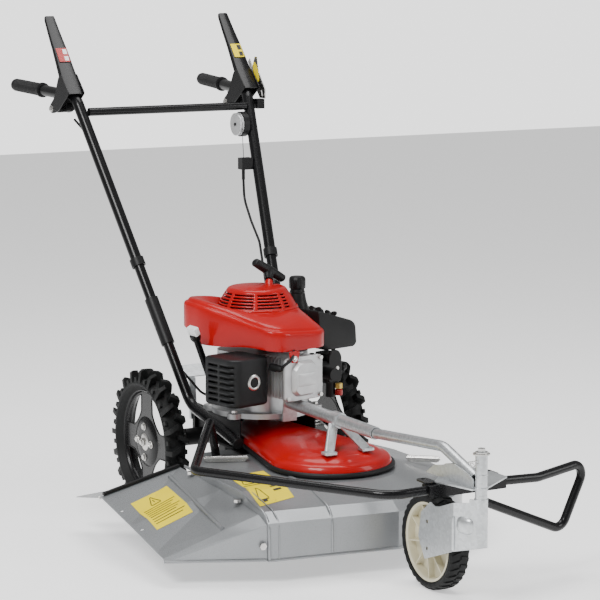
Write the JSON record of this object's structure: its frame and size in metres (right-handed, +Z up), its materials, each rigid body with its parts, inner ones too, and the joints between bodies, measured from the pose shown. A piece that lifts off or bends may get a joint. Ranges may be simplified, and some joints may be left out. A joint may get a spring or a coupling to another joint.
{
  "type": "brush cutter",
  "caption": "Walk-behind rotary brush cutter with an engine-driven blade under a side-discharge deck, driven rear wheels, a front caster wheel and a high two-handed bar.",
  "frame": {"origin": "on the ground, below the middle of the machine's box", "axes": "-Y forwards, +X to the operator's left, +Z up"},
  "size_m": [0.8242, 1.7666, 1.134],
  "materials": {
    "deck_paint": "metallic silver-grey paint",
    "red_paint": "gloss red paint",
    "black_paint": "gloss black powder coat",
    "muffler_paint": "heat-proof dark grey paint",
    "galvanised": "galvanised steel",
    "bright_steel": "zinc plated or bare steel",
    "cast_alloy": "sand-blasted die-cast aluminium",
    "cast_black": "black painted casting",
    "black_plastic": "textured black moulding",
    "gloss_black_plastic": "smooth black moulding",
    "rim_plastic": "beige moulding",
    "grip_rubber": "ribbed black rubber",
    "black_rubber": "black rubber",
    "tyre_rubber": "treaded dark rubber"
  },
  "bodies": {
    "chassis": {"deck_shell": "deck_paint", "chute_plate": "deck_paint", "belt_cover": "red_paint", "engine_shroud": "red_paint", "starter_dome": "red_paint", "cover_trim": "black_paint", "main_frame": "black_paint", "guard_left": "black_paint", "guard_right": "black_paint", "front_channel": "black_paint", "handle_lower_tubes": "black_paint", "handle_upper_left": "black_paint", "handle_upper_right": "black_paint", "crossbar": "black_paint", "muffler": "muffler_paint", "boom_tube": "galvanised", "boom_front": "galvanised", "head_tube": "galvanised", "rear_plate": "galvanised", "deck_hinges": "bright_steel", "bolts": "bright_steel", "throttle_plate": "bright_steel", "cable_bracket": "bright_steel", "crankcase": "cast_alloy", "cylinder": "cast_alloy", "valve_cover": "cast_alloy", "spindle_housing": "cast_alloy", "gearbox": "cast_black", "fuel_tank": "black_plastic", "air_cleaner": "black_plastic", "air_cleaner_knobs": "black_plastic", "carburettor": "black_plastic", "pulley_housing": "black_plastic", "control_cables": "black_plastic", "handle_sleeves": "black_plastic", "oil_filler": "gloss_black_plastic", "grips": "grip_rubber", "chute_seal": "black_rubber", "drive_belt": "black_rubber"},
    "wheel_left": {"wheel_rim_left": "black_paint", "wheel_tyre_left": "tyre_rubber"},
    "wheel_right": {"wheel_rim_right": "black_paint", "wheel_tyre_right": "tyre_rubber"},
    "caster_swivel": {"caster_fork": "galvanised", "stem_cap": "bright_steel"},
    "caster_wheel": {"caster_rim": "rim_plastic", "caster_tyre": "tyre_rubber"},
    "crank": {"crankshaft": "bright_steel", "crank_pulley": "bright_steel"},
    "rotor": {"blade_spindle": "bright_steel", "spindle_pulley": "bright_steel", "blade": "bright_steel", "blade_bolt": "bright_steel"},
    "lever_left": {"control_lever_left": "black_paint"},
    "lever_right": {"control_lever_right": "black_paint"},
    "pulley": {"cable_pulley": "black_plastic"},
    "throttle": {"throttle_lever": "bright_steel"},
    "starter": {"starter_grip": "gloss_black_plastic"},
    "cap": {"fuel_cap": "gloss_black_plastic"},
    "flap": {"rear_flap": "black_plastic"}
  },
  "joints": [
    {"name": "wheel_left_spin", "type": "hinge", "parent": "chassis", "child": "wheel_left", "pos_m": [0.294, 0.16, 0.168], "axis": [1, 0, 0], "continuous": true},
    {"name": "wheel_right_spin", "type": "hinge", "parent": "chassis", "child": "wheel_right", "pos_m": [-0.176, 0.16, 0.168], "axis": [1, 0, 0], "continuous": true},
    {"name": "caster_swivel_turn", "type": "hinge", "parent": "chassis", "child": "caster_swivel", "pos_m": [0.059, -0.872, 0.22], "axis": [0, 0, 1], "range_deg": [-25, 265]},
    {"name": "caster_wheel_spin", "type": "hinge", "parent": "caster_swivel", "child": "caster_wheel", "pos_m": [0.059, -0.704, 0.1], "axis": [1, 0, 0], "continuous": true},
    {"name": "crank_spin", "type": "hinge", "parent": "chassis", "child": "crank", "pos_m": [0.059, 0.045, 0.19], "axis": [0, 0, 1], "continuous": true},
    {"name": "blade_spin", "type": "hinge", "parent": "chassis", "child": "rotor", "pos_m": [0.059, -0.27, 0.19], "axis": [0, 0, 1], "continuous": true},
    {"name": "drive_lever_squeeze", "type": "hinge", "parent": "chassis", "child": "lever_left", "pos_m": [0.2975, 0.65, 0.908], "axis": [-1, 0, 0], "range_deg": [0, 47], "stiffness_Nm_per_rad": 1.2, "springref_deg": -40.11},
    {"name": "blade_lever_squeeze", "type": "hinge", "parent": "chassis", "child": "lever_right", "pos_m": [-0.1795, 0.65, 0.908], "axis": [-1, 0, 0], "range_deg": [0, 47], "stiffness_Nm_per_rad": 1.2, "springref_deg": -40.11},
    {"name": "cable_pulley_turn", "type": "hinge", "parent": "chassis", "child": "pulley", "pos_m": [0.242, 0.52, 0.861], "axis": [-1, 0, 0], "range_deg": [0, 29.2]},
    {"name": "throttle_turn", "type": "hinge", "parent": "chassis", "child": "throttle", "pos_m": [0.328, 0.569, 0.948], "axis": [1, 0, 0], "range_deg": [-20, 25]},
    {"name": "starter_pull", "type": "slide", "parent": "chassis", "child": "starter", "axis": [0.307, 0.5766, 0.7572], "range_m": [0, 0.045], "stiffness_N_per_m": 150, "springref_m": -0.05},
    {"name": "fuel_cap_turn", "type": "hinge", "parent": "chassis", "child": "cap", "pos_m": [0.17095, 0.08106, 0.52], "axis": [0, 0, 1], "range_deg": [0, 90]},
    {"name": "flap_lift", "type": "hinge", "parent": "chassis", "child": "flap", "pos_m": [-0.415, -0.098, 0.118], "axis": [0.9732, 0, 0.2299], "range_deg": [0, 60]}
  ],
  "couplings": [
    {"joint": "blade_spin", "follows": "crank_spin", "ratio": 0.67742},
    {"joint": "cable_pulley_turn", "follows": "drive_lever_squeeze", "ratio": 0.6}
  ]
}
